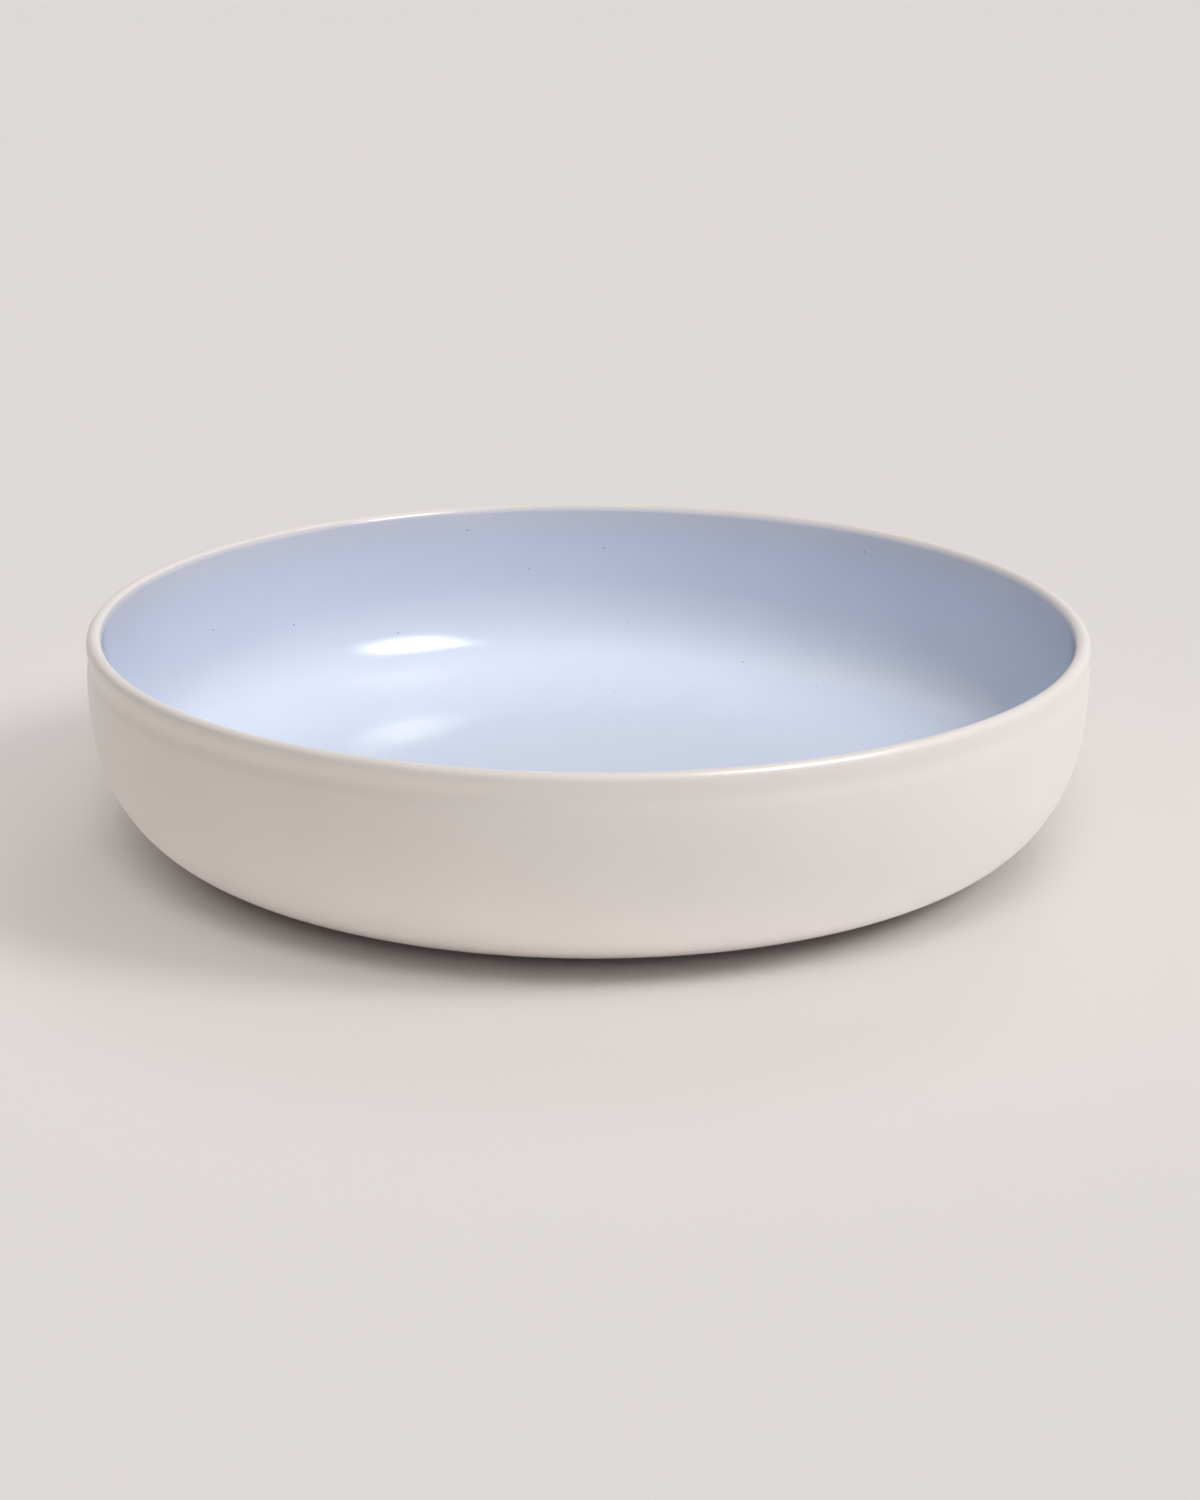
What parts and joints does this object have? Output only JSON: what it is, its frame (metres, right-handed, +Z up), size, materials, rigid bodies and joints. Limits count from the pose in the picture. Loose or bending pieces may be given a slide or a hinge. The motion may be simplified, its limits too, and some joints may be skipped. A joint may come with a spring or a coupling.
{
  "type": "serving bowl",
  "caption": "Low round stoneware serving bowl with a rounded lip, steep wall, flat floor and low foot ring, for bringing food to the table.",
  "frame": {"origin": "middle of the foot ring, on the plane that the bowl stands on", "axes": "+Z up along the bowl's axis of turning, X and Y anywhere round it"},
  "size_m": [0.3, 0.3, 0.067],
  "materials": {
    "bare_stoneware": "matte",
    "pale_blue_gloss_glaze": "gloss",
    "cream_satin_glaze": "satin",
    "cream_underside_glaze": "satin"
  },
  "bodies": {
    "root": {"stoneware_body": "bare_stoneware", "interior_glaze": "pale_blue_gloss_glaze", "exterior_glaze": "cream_satin_glaze", "foot_well_glaze": "cream_underside_glaze"}
  },
  "joints": []
}
